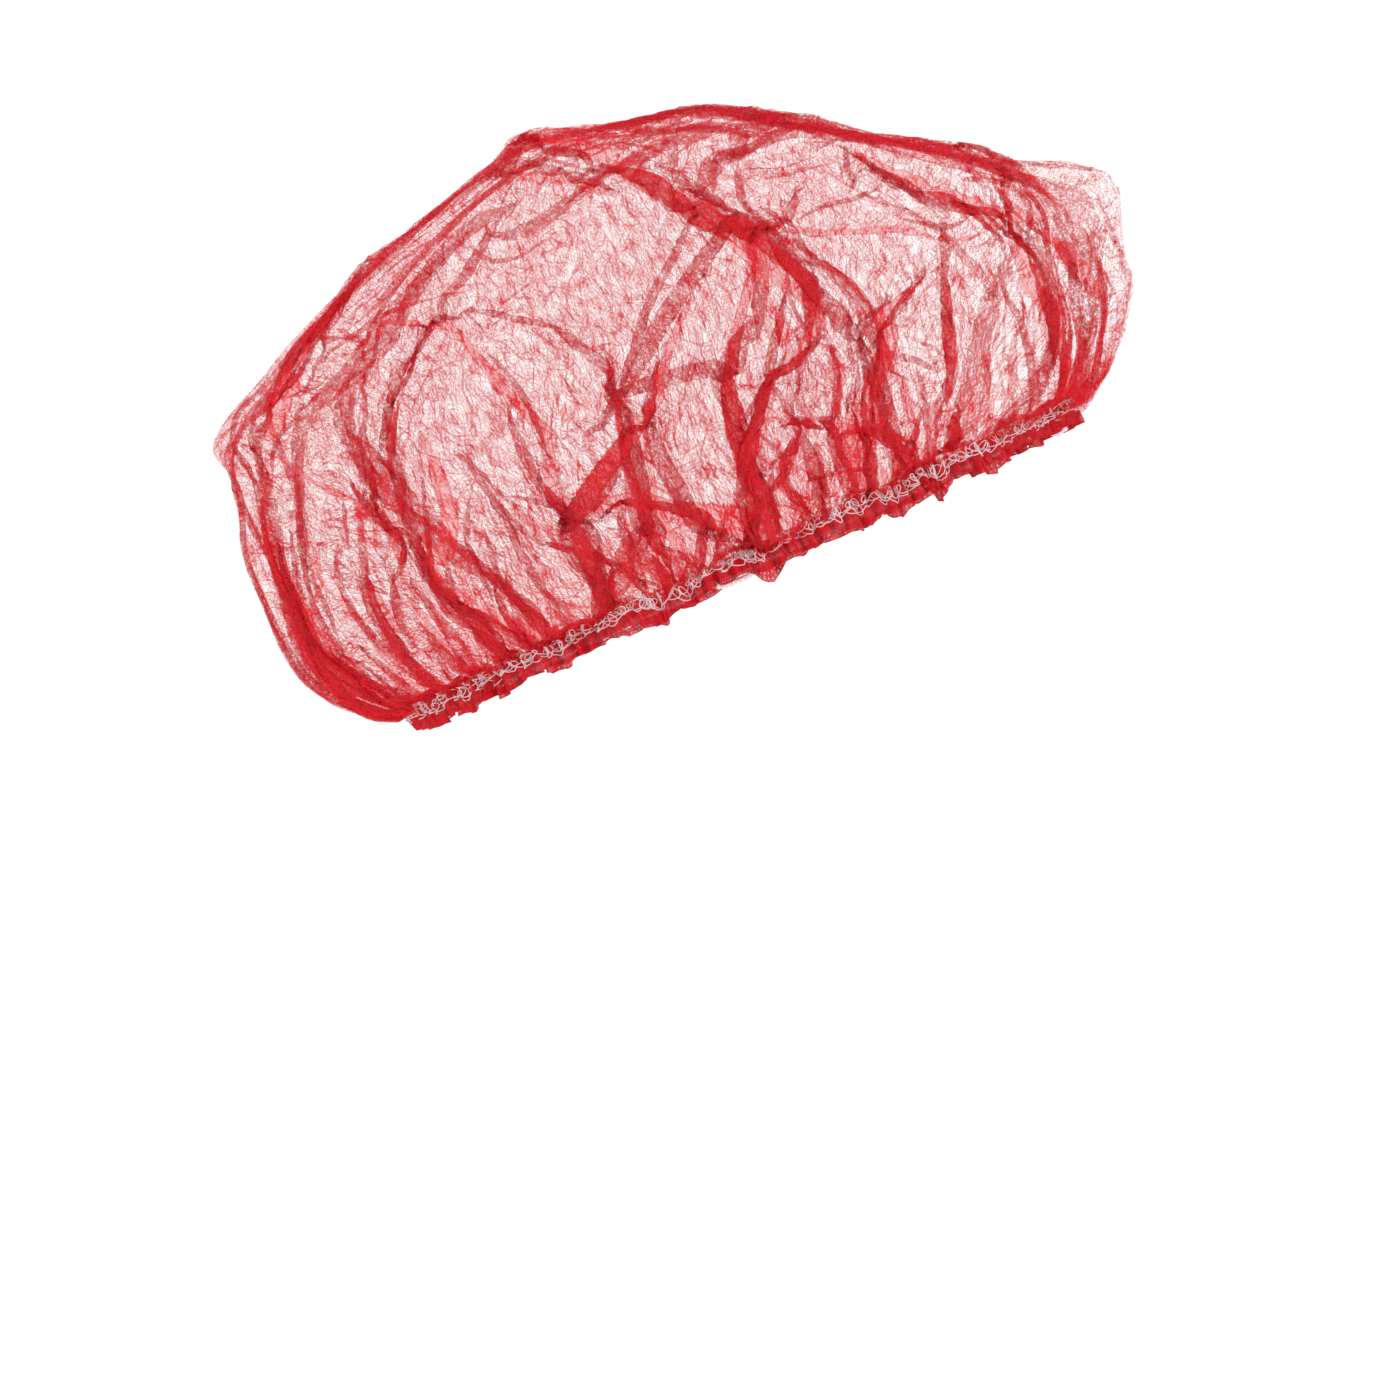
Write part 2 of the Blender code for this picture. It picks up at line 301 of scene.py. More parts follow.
# The sky: its brightest side, and its strength on the far side and on that one
KEY_SIDE = (0.35, -0.65, 0.70)
SKY_DIM = 0.84
SKY_BRIGHT = 1.34

# Colours
RED = (0.74, 0.013, 0.032, 1)
# a darker red painted as shade where the crown's web is thin; the web's thinness itself is real
THIN_WEB_PAINTED_SHADE_RED = (0.62, 0.006, 0.018, 1)
# a brighter red painted as light where layers lie over each other and where the hem's strands lie
LAYERED_PAINTED_LIGHT_RED = (0.84, 0.012, 0.028, 1)
# painted shade: the dark red mixed into the hem's valleys between its gathers, and how much of it is mixed
# in
PAINTED_SHADE_RED = (0.30, 0.002, 0.006, 1)
PAINTED_SHADE_SHARE = 0.55
SHEEN_RED = (1.0, 0.75, 0.75, 1)
# a pinkish grey painted as shade in the grooves of the yarn's ribs
THREAD_GROOVE_PAINTED_SHADE = (0.86, 0.66, 0.68, 1)
THREAD_WHITE = (0.98, 0.93, 0.93, 1)
PAPER = (0.93, 0.93, 0.93, 1)

# How rough and how glossy the nonwoven is, and the share of its light that comes through
CLOTH_ROUGHNESS = 0.6
GLOSS_ROUGHNESS = 0.5
GLOSS = 0.025
THROUGH = 0.5

# What the nonwoven covers between its strands, and what its strands add
CROWN_COVER = 0.15
CROWN_WEB = 0.68
HEM_COVER = 0.70
HEM_WEB = 0.5
CLOUD_SCALE = 0.25
CLOUD_ROUGHNESS = 0.6
CLOUD_COVER = 0.12
CREASE_COVER = 0.10
BOND_COVER = 0.3

# Where the crown grows denser and where paler, in millimetres of its flat sheet, and by how much
GATHERED = (180.0, 238.0)
GATHER_COVER = 0.12
AHEAD = (60.0, 200.0)
FRONT_COVER = -0.21

# Pleats: the share of their width that is full, their folded edge, and what they cover
PLEAT_HEIGHT = 0.0012
PLEAT_COVER = 0.22
PLEAT_FULL = 0.86
PLEAT_SLOPE = 1.1
PLEAT_LAYERS = 1.35
EDGE_PLACE = 0.90
EDGE_BREADTH = 0.16
EDGE_SIDE = (-0.2, 0.6)
EDGE_LAYERS = 2.0
# where the gathered rim's layers are painted a brighter red, painted light
RIM_LAYERED_PAINTED_LIGHT = (205.0, 236.0, 0.0, 0.8)

# Streaks that run out from the middle of the sheet
STREAKS = 70
STREAK_RUN = 0.035
STREAK_LINE = (0.0, 0.05, 0.36, -0.03)
STREAK_GROWTH = (50.0, 210.0, 0.15, 1.0)

# Small melted points, and the long fibres between them
BOND_PITCH = 0.0013
BOND_TURN = math.radians(45)
BOND_EDGE = (0.11, 0.22)
WARP_SCALE = 0.10
WARP = 4.0
STRAND_WIDTH = 0.056
STRANDS = (
    # direction in degrees, millimetres across, how slender, weight
    (86, 0.86, 26, 1.0),
    (62, 0.72, 19, 0.9),
    (113, 0.72, 19, 0.9),
    (16, 0.64, 14, 0.8),
)


def disc(rings):
    """A flat disc of even triangles: its points, its faces and where each ring starts."""
    points, starts = [(0.0, 0.0)], [0]
    for k in range(1, rings + 1):
        starts.append(len(points))
        turn = np.arange(6 * k) * (math.pi / (3 * k))
        radius = CUT_RADIUS * k / rings
        points.extend(zip(radius * np.cos(turn), radius * np.sin(turn)))
    faces = []
    for k in range(1, rings + 1):
        outer, inner = starts[k], starts[k - 1]
        for side in range(6):
            for j in range(k):
                a = outer + (side * k + j) % (6 * k)
                b = outer + (side * k + j + 1) % (6 * k)
                c = inner + ((side * (k - 1) + j) % (6 * (k - 1)) if k > 1 else 0)
                faces.append((a, b, c))
                if j < k - 1:
                    faces.append((b, inner + (side * (k - 1) + j + 1) % (6 * (k - 1)), c))
    return np.array(points), np.array(faces), np.array(starts)


def edges_and_hinges(faces):
    """Every edge, and the two far corners of each pair of faces that share one."""
    ends = np.concatenate([faces[:, [0, 1]], faces[:, [1, 2]], faces[:, [2, 0]]])
    far = np.concatenate([faces[:, 2], faces[:, 0], faces[:, 1]])
    key = np.sort(ends, axis=1)
    order = np.lexsort((key[:, 1], key[:, 0]))
    key, far = key[order], far[order]
    first = np.ones(len(key), bool)
    first[1:] = (key[1:] != key[:-1]).any(axis=1)
    second = np.flatnonzero(~first)
    return key[first], np.stack([far[second - 1], far[second]], axis=1)


def in_batches(pairs, points, weight):
    """The pairs in groups that share no point, each with the pairs' flat lengths and weights."""
    taken = [0] * len(points)
    groups = []
    for i, (a, b) in enumerate(pairs.tolist()):
        used = taken[a] | taken[b]
        colour = (~used & (used + 1)).bit_length() - 1
        if colour == len(groups):
            groups.append([])
        groups[colour].append(i)
        taken[a] |= 1 << colour
        taken[b] |= 1 << colour
    batches = []
    for group in groups:
        a, b = pairs[group].T
        batches.append((a, b, np.linalg.norm(points[a] - points[b], axis=1), weight[group]))
    return batches


class Opening:
    """The rim that the hem follows, read from the frame."""

    def __init__(self):
        mount = frame["record"]["mounts"][0]
        self.up = -np.array(mount["axis"])
        self.left = np.array([0.0, 1.0, 0.0])
        self.ahead = np.cross(self.left, self.up)
        hem = np.array([v.co for v in frame["nodes"]["gathered_hem"].data.vertices])
        along, across = np.abs(hem @ self.ahead), np.abs(hem @ self.left)
        self.half = (
            along[across < SECTION_BREADTH].min() + HEM_HALF_WALL,
            across[along < SECTION_BREADTH].min() + HEM_HALF_WALL,
        )

    def outward(self, turn):
        """The way out of the rim at these angles, in its plane."""
        out = np.outer(self.half[1] * np.cos(turn), self.ahead)
        out = out + np.outer(self.half[0] * np.sin(turn), self.left)
        return out / np.linalg.norm(out, axis=1)[:, None]

    def point(self, turn, outward, rise):
        """Points at these angles, this far out of the rim and above its plane."""
        line = np.outer(self.half[0] * np.cos(turn), self.ahead)
        line = line + np.outer(self.half[1] * np.sin(turn), self.left)
        return line + self.outward(turn) * np.reshape(outward, (-1, 1)) + self.up * np.reshape(rise, (-1, 1))

    def even_turns(self, count):
        """Angles that share the rim's length evenly."""
        fine = np.linspace(0, 2 * math.pi, TURN_SAMPLES)
        steps = np.linalg.norm(np.diff(self.point(fine, 0, 0), axis=0), axis=1)
        length = np.concatenate([[0], np.cumsum(steps)])
        self.length = length[-1]
        return np.interp(np.arange(count) / count * length[-1], length, fine)


class Form:
    """How far the crown reaches from its core in every direction."""

    def __init__(self, opening):
        self.opening = opening
        mesh = frame["nodes"]["crown_shell"].data
        corners = [v.co for v in mesh.vertices]
        self.tree = tree = BVHTree.FromPolygons(corners, [p.vertices for p in mesh.polygons])
        self.table = np.full((TABLE_TILTS + 1, TABLE_TURNS), np.nan)
        for i in range(TABLE_TILTS + 1):
            tilt = WIDEST_TILT * i / TABLE_TILTS
            for j in range(TABLE_TURNS):
                turn = 2 * math.pi * j / TABLE_TURNS
                across = opening.ahead * math.cos(turn) + opening.left * math.sin(turn)
                ray = opening.up * math.cos(tilt) + across * math.sin(tilt)
                hit = tree.ray_cast(Vector(CORE), Vector(ray))
                if hit[0] is not None:
                    self.table[i, j] = hit[3] + UNDER_FORM
        for column in self.table.T:
            known = np.flatnonzero(np.isfinite(column))
            column[:] = np.interp(np.arange(len(column)), known, column[known])
        self.draw_out_corners()

    def draw_out_corners(self):
        """Draws the form out to a point where the photograph's outline has a corner."""
        tilt, turn = np.meshgrid(
            np.linspace(0, WIDEST_TILT, TABLE_TILTS + 1),
            np.arange(TABLE_TURNS) * 2 * math.pi / TABLE_TURNS, indexing="ij")
        level = np.sin(tilt)[..., None]
        across = np.cos(turn)[..., None] * self.opening.ahead + np.sin(turn)[..., None] * self.opening.left
        surface = CORE + (np.cos(tilt)[..., None] * self.opening.up + across * level) * self.table[..., None]
        for pixel, height, breadth in CORNERS:
            seen = np.array(pixel_place(pixel))
            off = np.linalg.norm(surface[..., [0, 2]] - seen, axis=-1)
            corner = surface[np.unravel_index(off.argmin(), off.shape)]
            away = np.linalg.norm(surface - corner, axis=-1)
            self.table += height * np.clip(1 - away / breadth, 0, 1) ** CORNER_POINT

    def polar(self, points):
        """Each point's distance and direction from the core, with its tilt and its turn."""
        away = points - CORE
        distance = np.linalg.norm(away, axis=1)
        way = away / distance[:, None]
        tilt = np.arccos(np.clip(way @ self.opening.up, -1, 1))
        turn = np.arctan2(way @ self.opening.left, way @ self.opening.ahead)
        return distance, way, tilt, turn

    def reach(self, tilt, turn):
        """How far the form reaches there, read between the places of the table."""
        u = np.clip(tilt / WIDEST_TILT * TABLE_TILTS, 0, TABLE_TILTS - 1e-6)
        v = (turn / (2 * math.pi) * TABLE_TURNS) % TABLE_TURNS
        i, j = u.astype(int), v.astype(int) % TABLE_TURNS
        k = (j + 1) % TABLE_TURNS
        fu, fv = u - i, v - np.floor(v)
        low = self.table[i, j] * (1 - fv) + self.table[i, k] * fv
        high = self.table[i + 1, j] * (1 - fv) + self.table[i + 1, k] * fv
        return low * (1 - fu) + high * fu


def laid_over_form(flat, form):
    """The disc spread over the form from its centre to the rim, before it is pleated."""
    share = np.linalg.norm(flat, axis=1) / CUT_RADIUS
    turn = np.arctan2(flat[:, 1], flat[:, 0])
    centre = np.array([-CENTRE_BEHIND, 0.0, CENTRE_HIGH]) - CORE
    centre /= np.linalg.norm(centre)
    edge = form.opening.point(turn, CROWN_OUT, CROWN_RISE) - CORE
    edge_distance = np.linalg.norm(edge, axis=1)
    edge /= edge_distance[:, None]
    whole = np.arccos(np.clip(edge @ centre, -1, 1))
    way = np.sin((1 - share) * whole)[:, None] * centre + np.sin(share * whole)[:, None] * edge
    way /= np.linalg.norm(way, axis=1)[:, None]
    _, _, tilt, around = form.polar(CORE + way)
    near_edge = np.clip(1 - (1 - share) / RIM_FADE, 0, 1)
    distance = form.reach(tilt, around) * (1 - near_edge) + edge_distance * near_edge
    return CORE + way * distance[:, None]


def pixel_place(pixel):
    """Where a pixel of the photograph lies, across and up, in the plane through the origin."""
    return (pixel[0] - ORIGIN_PIXEL[0]) * PIXEL, (ORIGIN_PIXEL[1] - pixel[1]) * PIXEL


def camera_place():
    """Level with the middle of the photograph, on the near side."""
    across, height = pixel_place(MIDDLE_PIXEL)
    return Vector((across, -CAMERA_AWAY, height))


def seen_fold(pixels, form):
    """Points on the near side of the form, along pixels of the photograph."""
    eye = camera_place()
    points = []
    for start, end in zip(pixels, pixels[1:]):
        steps = max(1, round(math.dist(start, end) * PIXEL / FOLD_STEP))
        for i in range(steps + 1):
            share = i / steps
            across, height = pixel_place([a + (b - a) * share for a, b in zip(start, end)])
            hit = form.tree.ray_cast(eye, Vector((across, 0.0, height)) - eye)
            if hit[0] is not None:
                points.append(hit[0])
    return np.array(points)


def hidden_folds(form):
    """Folds that wander down to the hem, round the side that the photograph doesn't show."""
    opening = form.opening
    folds = []
    for i in range(HIDDEN_FOLDS):
        share = (i + rng.uniform(*HIDDEN_SPREAD)) / HIDDEN_FOLDS
        turn = HIDDEN_FROM + (HIDDEN_TO - HIDDEN_FROM) * share
        top = math.radians(rng.choice(HIDDEN_TOPS) + rng.uniform(-HIDDEN_TOP_STRAY, HIDDEN_TOP_STRAY))
        drift, bow = rng.normal(0, HIDDEN_DRIFT), rng.normal(0, HIDDEN_BOW)
        tilt = np.linspace(top, HIDDEN_END, HIDDEN_POINTS)
        part = np.linspace(0, 1, HIDDEN_POINTS)
        around = turn + drift * (1 - part) + bow * np.sin(part * math.pi * 2) * (1 - part)
        across = np.outer(np.cos(around), opening.ahead) + np.outer(np.sin(around), opening.left)
        way = np.outer(np.cos(tilt), opening.up) + across * np.sin(tilt)[:, None]
        points = CORE + way * form.reach(tilt, around)[:, None]
        folds.append((HIDDEN_FIRST, rng.uniform(*HIDDEN_LAST), rng.choice([-1, 1]), points))
    return folds


def beside(points, line, form, depth=1.0):
    """Each point's distance beside the line, its share of the line and the way across.

    Depth is how much a point's distance below or above the line counts.
    """
    away = np.full(len(points), np.inf)
    side, share = np.zeros(len(points)), np.zeros(len(points))
    across = np.zeros_like(points)
    lengths = np.linalg.norm(np.diff(line, axis=0), axis=1)
    before = np.concatenate([[0], np.cumsum(lengths)])
    _, outward, _, _ = form.polar(points)
    for start, end, length, run_before in zip(line, line[1:], lengths, before):
        if length < 1e-6:
            continue
        run = (end - start) / length
        along = np.clip((points - start) @ run, 0, length)
        off = points - start - np.outer(along, run)
        above = np.einsum("ij,ij->i", off, outward) * (1 - depth)
        distance = np.linalg.norm(off - outward * above[:, None], axis=1)
        closer = distance < away
        beyond = np.cross(outward[closer], run)
        away[closer] = distance[closer]
        side[closer] = np.sign(np.einsum("ij,ij->i", off[closer], beyond)) * distance[closer]
        share[closer] = (run_before + along[closer]) / before[-1]
        across[closer] = beyond
    return side, share, across


def all_folds(form):
    """Each fold's first and last half width, its lean and its line."""
    seen = [(first, last, lean, seen_fold(pixels, form)) for first, last, lean, pixels in FOLDS]
    return seen + hidden_folds(form)


def pleated(points, form, folds):
    """The sheet with its folds laid in, its lift over the form, and where and which points are held."""
    lift = np.zeros(len(points))
    hold = np.zeros(len(points), bool)
    for first, last, lean, line in folds:
        side, share, across = beside(points, line, form)
        half = (first + (last - first) * share) * LAID
        away = np.abs(side)
        inner = np.clip(away / half, 0, 1)
        outer = np.clip((FOLD_REACH - away) / (FOLD_REACH - half), 0, 1)
        push = -2 * half * np.where(away < half, inner, outer) * np.sign(side)
        points = points + across * push[:, None]
        lift += lean * LAYER * np.clip(side / half, -1, 1) * outer
        distance, way, tilt, turn = form.polar(points)
        level = form.reach(tilt, turn)
        points = CORE + way * np.where(distance > level - FOLLOW_DEPTH, level, distance)[:, None]
        hold |= away < half + HOLD_BREADTH
    return points, lift, points.copy(), hold


def pinned_rim(flat, rings, starts, opening):
    """The outer ring of the sheet and its places, gathered along the rim."""
    ring = np.arange(starts[rings], starts[rings] + 6 * rings)
    turn = np.arctan2(flat[ring, 1], flat[ring, 0])
    stray = sum(strength * np.sin(waves * turn + phase) for strength, waves, phase in GATHER_STRAYS)
    wave = np.cos(GATHERS * turn + stray)
    return ring, opening.point(turn, CROWN_OUT + GATHER_DEPTH * wave, CROWN_RISE)


def draw_together(points, batches, only_near=False):
    """Moves each pair of points towards its flat length, or only the pairs that are too near."""
    for a, b, length, weight in batches:
        gap = points[a] - points[b]
        now = np.sqrt(np.einsum("ij,ij->i", gap, gap)) + 1e-9
        excess = now - length
        if only_near:
            excess = np.minimum(excess, 0)
        gap *= (weight * 0.5 * excess / now)[:, None]
        points[a] -= gap
        points[b] += gap


def relaxed(points, lift, flat, faces, starts, form, stage, hold, held):
    """Lets the sheet find its flat lengths again, pressed into a thin gap under the form."""
    rings, steps, noise, bend, first_slack, last_slack = stage
    edges, hinges = edges_and_hinges(faces)
    stiff = np.where(hold[hinges].any(axis=1), bend * FOLD_BEND, bend)
    edge_batches = in_batches(edges, flat, np.ones(len(edges)))
    hinge_batches = in_batches(hinges, flat, stiff)
    ring, pinned = pinned_rim(flat, rings, starts, form.opening)
    inner = np.clip((1 - np.linalg.norm(flat, axis=1) / CUT_RADIUS) / RIM_FADE, 0, 1)
    _, way, _, _ = form.polar(points)
    points = points + way * (rng.normal(size=len(points)) * noise * inner)[:, None]
    speed = np.zeros_like(points)
    for step in range(steps):
        slack = first_slack + (last_slack - first_slack) * step / steps
        moved = points + speed * DAMPING
        distance, way, tilt, turn = form.polar(moved)
        gap = form.reach(tilt, turn) - UNDER_FORM + lift - distance
        moved += way * (np.clip(gap, -PULL_LIMIT, PULL_LIMIT) * PULL * inner)[:, None]
        if held is not None:
            moved[hold] += (held - moved)[hold] * HOLD
        draw_together(moved, edge_batches)
        draw_together(moved, hinge_batches, only_near=True)
        distance, way, tilt, turn = form.polar(moved)
        over = distance - form.reach(tilt, turn) - lift
        short = np.minimum(over + slack, 0) * PRESS
        moved -= way * ((np.maximum(over, 0) + short) * inner)[:, None]
        moved[ring] = pinned
        speed = moved - points
        points = moved
    return points


def refined(values, starts, flat):
    """Values on a coarse disc, read at the points of a finer one."""
    rings = len(starts) - 1
    turn = np.arctan2(flat[:, 1], flat[:, 0]) % (2 * math.pi)
    place = np.linalg.norm(flat, axis=1) / CUT_RADIUS * rings
    ring = np.minimum(np.floor(place + 1e-9).astype(int), rings - 1)
    share = (place - ring)[:, None]

    def on(k):
        count = np.maximum(6 * k, 1)
        slot = turn / (2 * math.pi) * count
        low = np.floor(slot + 1e-9).astype(int)
        part = (slot - low)[:, None]
        return values[starts[k] + low % count] * (1 - part) + values[starts[k] + (low + 1) % count] * part

    return on(ring) * (1 - share) + on(ring + 1) * share


def creased(points, faces, flat):
    """How sharply the sheet is folded at each point, from 0 to 1."""
    _, hinges = edges_and_hinges(faces)
    a, b = hinges.T
    now = np.linalg.norm(points[a] - points[b], axis=1)
    fold = 1 - now / np.linalg.norm(flat[a] - flat[b], axis=1)
    sharpest = np.zeros(len(points))
    np.maximum.at(sharpest, a, fold)
    np.maximum.at(sharpest, b, fold)
    return np.clip((sharpest - CREASE_FROM) / (CREASE_TO - CREASE_FROM), 0, 1)


def ribbons(points, form, folds):
    """How far each point lies across the nearest pleat, in half widths of it, and on which side."""
    nearest, lean_side = np.full(len(points), RIBBON_LIMIT), np.zeros(len(points))
    for first, last, lean, line in folds:
        side, share, _ = beside(points, line, form, RIBBON_DEPTH)
        half = np.maximum(first + (last - first) * share, THINNEST_RIBBON)
        ratio = np.abs(side) / half
        closer = ratio < nearest
        nearest[closer] = ratio[closer]
        lean_side[closer] = (np.sign(side) * lean)[closer]
    return nearest, lean_side


def relaxed_sheet(form, folds):
    """The finished crown: its points, faces and flat places."""
    stages = STAGES
    points = lift = starts = None
    for stage in stages:
        flat, faces, finer = disc(stage[0])
        if points is None:
            points, lift, held, hold = pleated(laid_over_form(flat, form), form, folds)
        else:
            points = refined(points, starts, flat)
            lift = refined(lift[:, None], starts, flat)[:, 0]
            hold = refined(hold[:, None].astype(float), starts, flat)[:, 0] > 0.5
            held = None
        points = relaxed(points, lift, flat, faces, finer, form, stage, hold, held)
        starts = finer
    return points, faces, flat


def mesh_object(name, points, faces, uv=None):
    """A smooth mesh in the scene, with its flat places as its texture coordinates."""
    mesh = bpy.data.meshes.new(name)
    mesh.vertices.add(len(points))
    mesh.vertices.foreach_set("co", np.asarray(points, np.float32).ravel())
    sides = faces.shape[1]
    mesh.loops.add(faces.size)
    mesh.loops.foreach_set("vertex_index", faces.astype(np.int32).ravel())
    mesh.polygons.add(len(faces))
    mesh.polygons.foreach_set("loop_start", np.arange(0, faces.size, sides, dtype=np.int32))
    mesh.update(calc_edges=True)
    mesh.validate()
    if uv is not None:
        layer = mesh.uv_layers.new(name="flat")
        layer.data.foreach_set("uv", uv[faces.ravel()].astype(np.float32).ravel())
    mesh.shade_smooth()
    piece = bpy.data.objects.new(name, mesh)
    bpy.context.scene.collection.objects.link(piece)
    return piece


def give_values(piece, name, values):
    """Stores a number at each point of the piece, for its material to read."""
    attribute = piece.data.attributes.new(name, "FLOAT", "POINT")
    attribute.data.foreach_set("value", values.astype(np.float32))


class Nodes:
    """A short way to write a material's node tree."""

    def __init__(self, name):
        self.material = bpy.data.materials.new(name)
        self.material.use_nodes = True
        self.tree = self.material.node_tree
        self.tree.nodes.clear()

    def add(self, kind, inputs=(), **settings):
        node = self.tree.nodes.new(kind)
        for key, value in settings.items():
            setattr(node, key, value)
        for key, value in dict(inputs).items():
            self.set(node, key, value)
        return node

    def set(self, node, key, value):
        if isinstance(value, bpy.types.NodeSocket):
            self.tree.links.new(value, node.inputs[key])
        elif isinstance(value, bpy.types.Node):
            self.tree.links.new(value.outputs[0], node.inputs[key])
        else:
            node.inputs[key].default_value = value

    def stored(self, name):
        """A number that the piece holds at each of its points."""
        return self.add("ShaderNodeAttribute", attribute_name=name, attribute_type="GEOMETRY").outputs["Fac"]

    def math(self, operation, *values, clamp=False):
        node = self.add("ShaderNodeMath", operation=operation, use_clamp=clamp)
        for i, value in enumerate(values):
            self.set(node, i, value)
        return node.outputs[0]

    def vector(self, operation, *values):
        """Vector arithmetic. Its outputs are the vector and the value."""
        return self.add("ShaderNodeVectorMath", dict(enumerate(values)), operation=operation)

    def noise(self, place, scale, detail=0.0, roughness=0.5, **settings):
        """Smooth noise. Its outputs are the number and the colour."""
        inputs = {"Vector": place, "Scale": scale, "Detail": detail, "Roughness": roughness}
        return self.add("ShaderNodeTexNoise", inputs, **settings)

    def ramp(self, value, low, high, to_low=0.0, to_high=1.0):
        levels = {"From Min": low, "From Max": high, "To Min": to_low, "To Max": to_high}
        return self.add("ShaderNodeMapRange", {"Value": value, **levels}).outputs[0]

    def mix_colour(self, share, first, second):
        node = self.add("ShaderNodeMix", data_type="RGBA")
        self.set(node, 0, share)
        self.set(node, 6, first)
        self.set(node, 7, second)
        return node.outputs[2]


def fibre_web(n, place):
    """How much fibre lies at each place, in long strands that cross and bend."""
    warp = n.noise(place, WARP_SCALE, noise_dimensions="2D")
    shift = n.vector("MULTIPLY", warp.outputs["Color"], (WARP, WARP, 0))
    bent = n.vector("ADD", place, shift)
    total = None
    for turn, across, slender, weight in STRANDS:
        size = (slender / across, 1 / across, 1)
        turned = n.add(
            "ShaderNodeMapping", {"Vector": bent, "Rotation": (0, 0, math.radians(turn)), "Scale": size},
            vector_type="TEXTURE")
        strand = n.noise(turned, 1.0, noise_dimensions="2D")
        away = n.math("ABSOLUTE", n.math("SUBTRACT", strand.outputs["Fac"], 0.5))
        line = n.math("MULTIPLY", n.ramp(away, 0.0, STRAND_WIDTH * across, 1.0, 0.0), weight)
        total = line if total is None else n.math("MAXIMUM", total, line)
    return total


def bond_points(n, place):
    """Small melted points in a slanting grid."""
    pitch = 1 / (BOND_PITCH * 1000)
    turned = n.add("ShaderNodeMapping", {
        "Vector": place, "Rotation": (0, 0, BOND_TURN), "Scale": (pitch, pitch, 0)})
    middle = n.vector("DISTANCE", n.vector("FRACTION", turned), (0.5, 0.5, 0))
    return n.ramp(middle.outputs["Value"], *BOND_EDGE, 1.0, 0.0)


def radial_streaks(n, place, away):
    """Fine creases and drawn fibres that run from the middle of the sheet to its gathered edge."""
    spread = n.vector("MULTIPLY", n.vector("NORMALIZE", place), (STREAKS, STREAKS, STREAKS))
    down = n.add("ShaderNodeCombineXYZ", {"Z": n.math("MULTIPLY", away, STREAK_RUN)})
    noise = n.noise(n.vector("ADD", spread, down), 1.0)
    line = n.math("ABSOLUTE", n.math("SUBTRACT", noise.outputs["Fac"], 0.5))
    return n.math("MULTIPLY", n.ramp(line, *STREAK_LINE), n.ramp(away, *STREAK_GROWTH))


def pleat_layers(n):
    """Where a pleat lies, how many layers lie over each other across it, and how high they stand."""
    across = n.stored("across")
    ribbon = n.ramp(across, PLEAT_FULL, 1.0, 1.0, 0.0)
    off_edge = n.math("ABSOLUTE", n.math("SUBTRACT", across, EDGE_PLACE))
    edge = n.ramp(off_edge, 0.0, EDGE_BREADTH, 1.0, 0.0)
    folded_edge = n.math("MULTIPLY", edge, n.ramp(n.stored("lean"), *EDGE_SIDE))
    layers = n.math("MULTIPLY_ADD", ribbon, PLEAT_LAYERS, 1.0)
    layers = n.math("MULTIPLY_ADD", folded_edge, EDGE_LAYERS, layers)
    return ribbon, layers, n.ramp(across, 0.0, PLEAT_SLOPE, 1.0, 0.0)


def crown_density(n, place, away, dense):
    """The sheet's density with its gathers, its paler front, its streaks and its creases."""
    dense = n.math("ADD", dense, n.ramp(away, *GATHERED, 0.0, GATHER_COVER))
    ahead = n.add("ShaderNodeSeparateXYZ", {0: place}).outputs["X"]
    dense = n.math("ADD", dense, n.ramp(ahead, *AHEAD, 0.0, FRONT_COVER))
    dense = n.math("ADD", dense, radial_streaks(n, place, away))
    return n.math("MULTIPLY_ADD", n.stored("crease"), CREASE_COVER, dense)


def layered(n, away, colour, alpha):
    """Colour, cover and bump where layers of a pleat or of the gathers lie over each other; the colour there
    is a brighter red, painted light.
    """
    ribbon, layers, height = pleat_layers(n)
    # painted light: where layers of a pleat or of the gathered rim lie, the red is brightened
    layered_painted_light = n.math("MAXIMUM", ribbon, n.ramp(away, *RIM_LAYERED_PAINTED_LIGHT))
    colour = n.mix_colour(layered_painted_light, colour, LAYERED_PAINTED_LIGHT_RED)
    alpha = n.math("MAXIMUM", alpha, n.math("MULTIPLY", ribbon, PLEAT_COVER))
    alpha = n.math("SUBTRACT", 1.0, n.math("POWER", n.math("SUBTRACT", 1.0, alpha), layers))
    bump = n.add("ShaderNodeBump", {"Height": height, "Strength": 1.0, "Distance": PLEAT_HEIGHT})
    return colour, alpha, bump


